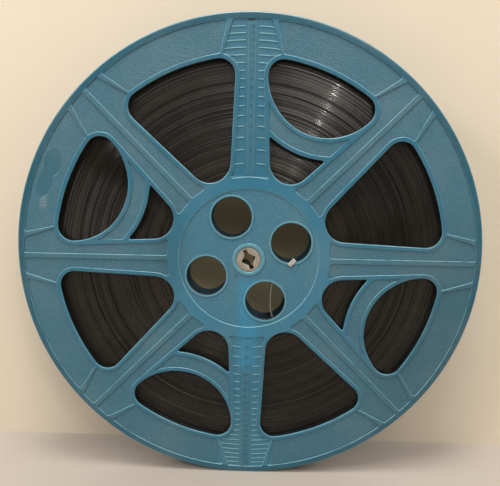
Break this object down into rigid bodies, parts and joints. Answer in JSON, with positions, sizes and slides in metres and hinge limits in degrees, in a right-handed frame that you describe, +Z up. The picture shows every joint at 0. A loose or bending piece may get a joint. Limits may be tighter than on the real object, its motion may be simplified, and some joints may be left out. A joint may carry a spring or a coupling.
{
  "type": "film reel",
  "caption": "Moulded plastic reel with spoked flanges, barred windows, finger holes and a keyed square spindle hole, wound with narrow cine film.",
  "frame": {"origin": "middle of the reel: on the axis of the spindle hole, half way between the outer faces of the two flanges", "axes": "+Y along the spindle axis from the front flange to the back flange, +Z up along the spoke with the footage scale, +X to the right as seen from the front"},
  "size_m": [0.3492, 0.0244, 0.3492],
  "materials": {
    "blue_plastic": "moulded, finely stippled panels with smooth lips and ribs",
    "plated_steel": "dull plated",
    "brown_film": "edges of wound film",
    "black_film": "edges of wound film",
    "white_leader": "matt"
  },
  "bodies": {
    "root": {"front_flange": "blue_plastic", "back_flange": "blue_plastic", "front_spindle_plate": "plated_steel", "back_spindle_plate": "plated_steel", "inner_film_length": "brown_film", "middle_film_length": "black_film", "outer_film_length": "black_film", "outer_film_turns": "black_film", "film_tail": "brown_film", "leader_scrap": "white_leader"}
  },
  "joints": []
}
